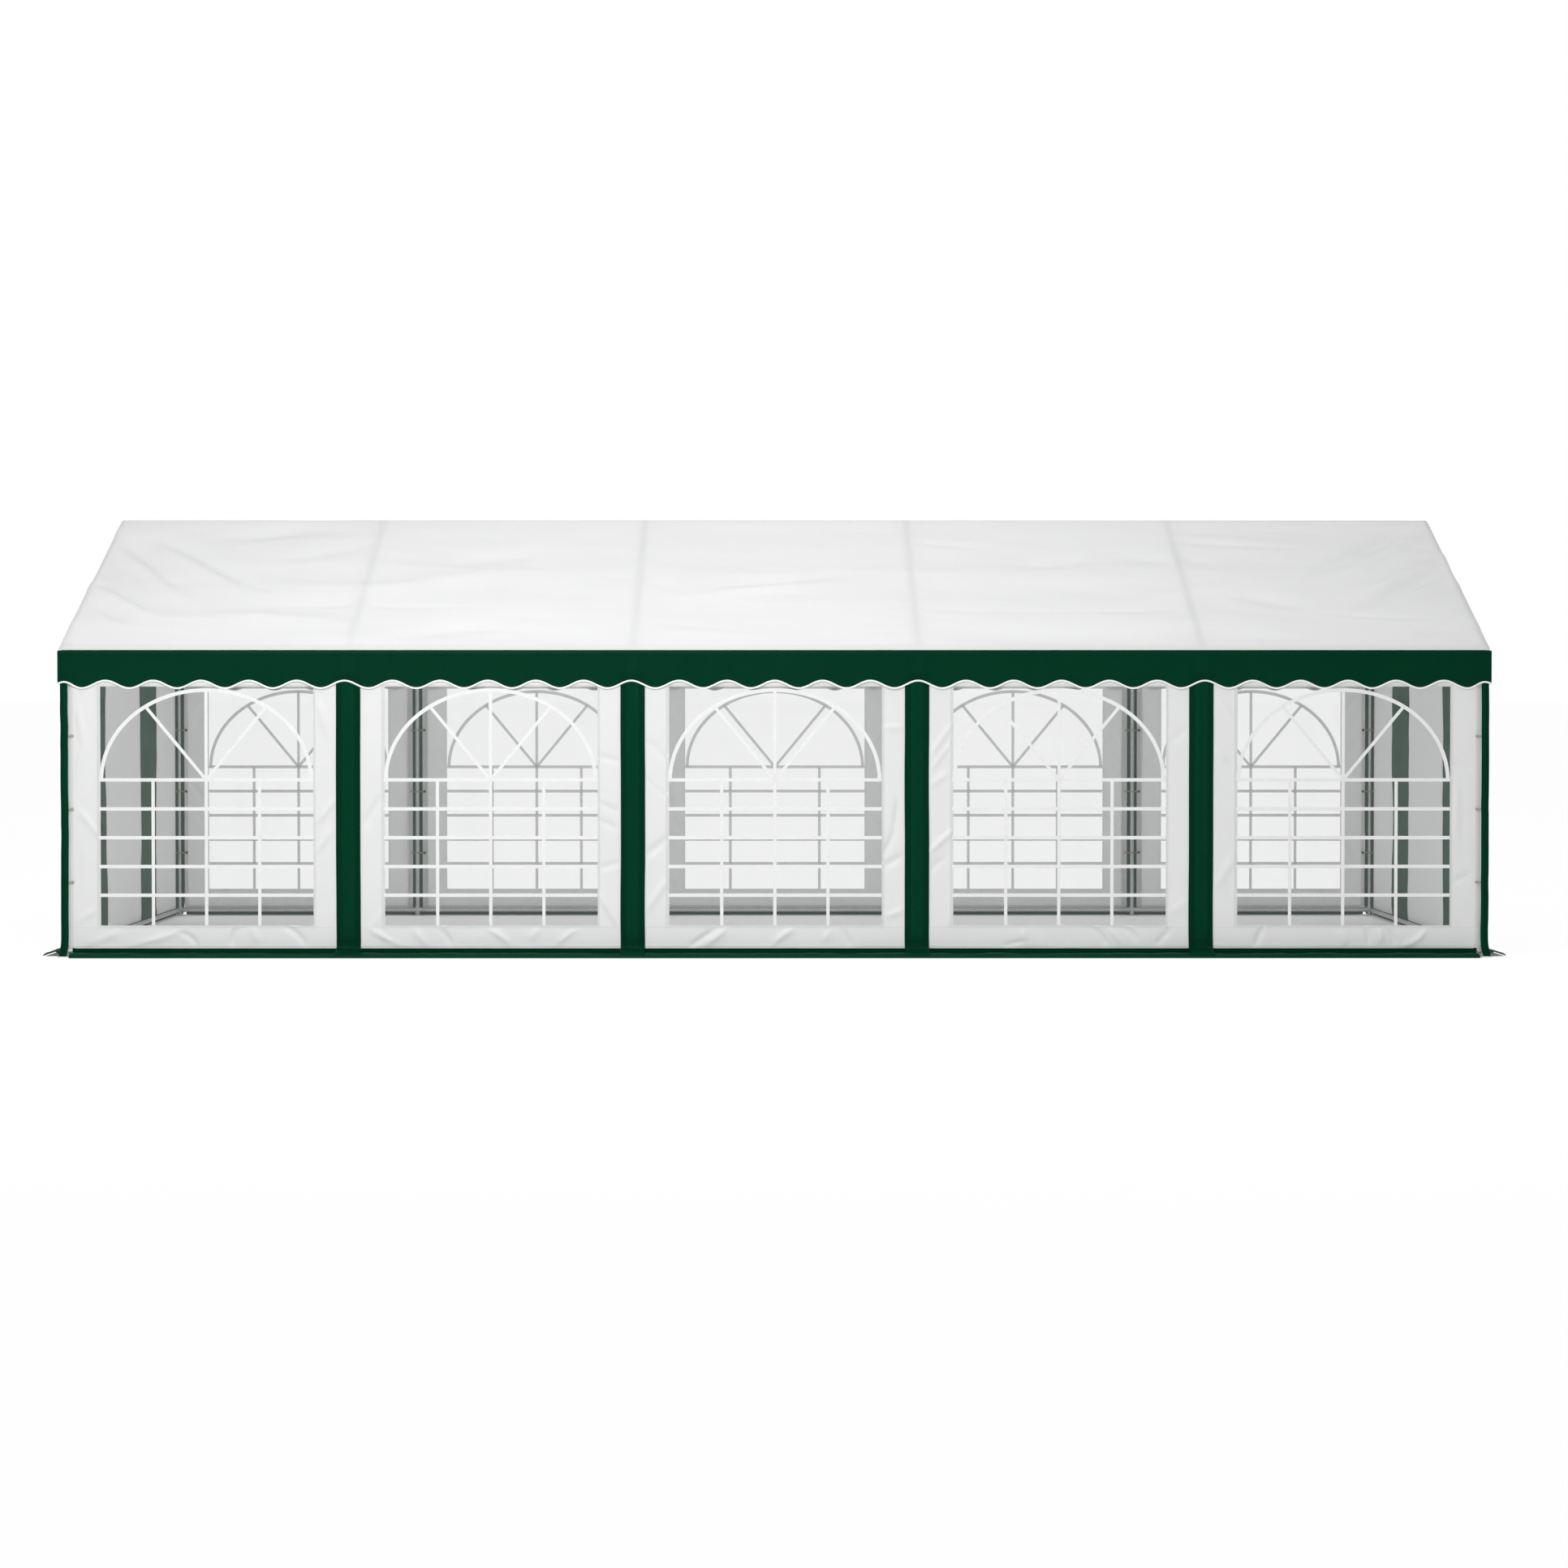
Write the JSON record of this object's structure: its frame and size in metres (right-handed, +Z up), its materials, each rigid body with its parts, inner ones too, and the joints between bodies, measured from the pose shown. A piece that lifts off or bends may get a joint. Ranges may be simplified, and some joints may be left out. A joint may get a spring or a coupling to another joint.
{
  "type": "marquee tent",
  "caption": "Long rectangular marquee tent with a white gable roof, green scalloped valance, white walls with large arched-pattern windows, and a steel tube frame.",
  "frame": {"origin": "on the ground in the middle of the tent", "axes": "+X along the ridge, to the right as seen from the front; +Y from the front long side to the back one; +Z up"},
  "size_m": [10.336, 5.336, 3.197],
  "materials": {
    "galvanised_tube": "dull galvanised steel tube",
    "white_sheet": "white coated sheeting with a soft sheen, letting some light through",
    "green_sheet": "dark green coated sheeting with a soft sheen",
    "clear_film": "clear glossy window film"
  },
  "bodies": {
    "root": {"post_front_1": "galvanised_tube", "post_front_2": "galvanised_tube", "post_front_3": "galvanised_tube", "post_front_4": "galvanised_tube", "post_front_5": "galvanised_tube", "post_front_6": "galvanised_tube", "post_back_1": "galvanised_tube", "post_back_2": "galvanised_tube", "post_back_3": "galvanised_tube", "post_back_4": "galvanised_tube", "post_back_5": "galvanised_tube", "post_back_6": "galvanised_tube", "rafter_pair_1": "galvanised_tube", "rafter_pair_2": "galvanised_tube", "rafter_pair_3": "galvanised_tube", "rafter_pair_4": "galvanised_tube", "rafter_pair_5": "galvanised_tube", "rafter_pair_6": "galvanised_tube", "ridge_bar": "galvanised_tube", "eave_bar_front": "galvanised_tube", "ground_bar_front": "galvanised_tube", "eave_bar_back": "galvanised_tube", "ground_bar_back": "galvanised_tube", "ground_bar_left": "galvanised_tube", "ground_bar_right": "galvanised_tube", "roof_cover": "white_sheet", "valance_front": "green_sheet", "trim_front": "green_sheet", "valance_back": "green_sheet", "trim_back": "green_sheet", "valance_left": "green_sheet", "trim_left": "green_sheet", "valance_right": "green_sheet", "trim_right": "green_sheet", "wall_front_1": "white_sheet", "wall_front_2": "white_sheet", "wall_front_3": "white_sheet", "wall_front_4": "white_sheet", "wall_front_5": "white_sheet", "window_film_front": "clear_film", "wall_back_1": "white_sheet", "wall_back_2": "white_sheet", "wall_back_3": "white_sheet", "wall_back_4": "white_sheet", "wall_back_5": "white_sheet", "window_film_back": "clear_film", "gable_wall_left": "white_sheet", "gable_door_left": "white_sheet", "gable_wall_right": "white_sheet", "gable_door_right": "white_sheet"}
  },
  "joints": []
}
